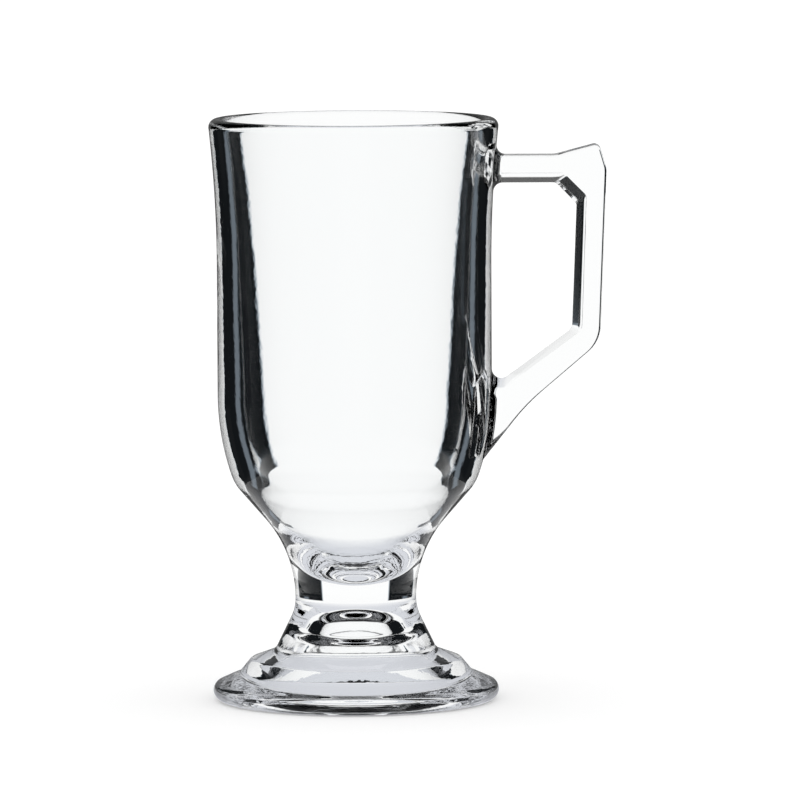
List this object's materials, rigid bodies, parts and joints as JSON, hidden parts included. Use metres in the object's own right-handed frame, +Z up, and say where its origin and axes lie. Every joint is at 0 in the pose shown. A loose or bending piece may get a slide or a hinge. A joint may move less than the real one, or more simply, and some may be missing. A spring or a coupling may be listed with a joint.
{
  "type": "irish coffee mug",
  "caption": "Footed clear glass mug for hot drinks: tall bowl with a flared rounded rim, short solid stem, stepped hollow foot and a flat angular side handle.",
  "frame": {"origin": "centre of the ring that the foot stands on, on the axis of the bowl", "axes": "+Z up along the bowl's axis, +X towards the handle, +Y across the handle's thickness"},
  "size_m": [0.1001, 0.073, 0.147],
  "materials": {
    "clear_glass": "clear colourless pressed glass, fire polished"
  },
  "bodies": {
    "root": {"bowl": "clear_glass", "stem": "clear_glass", "foot": "clear_glass", "handle": "clear_glass"}
  },
  "joints": []
}
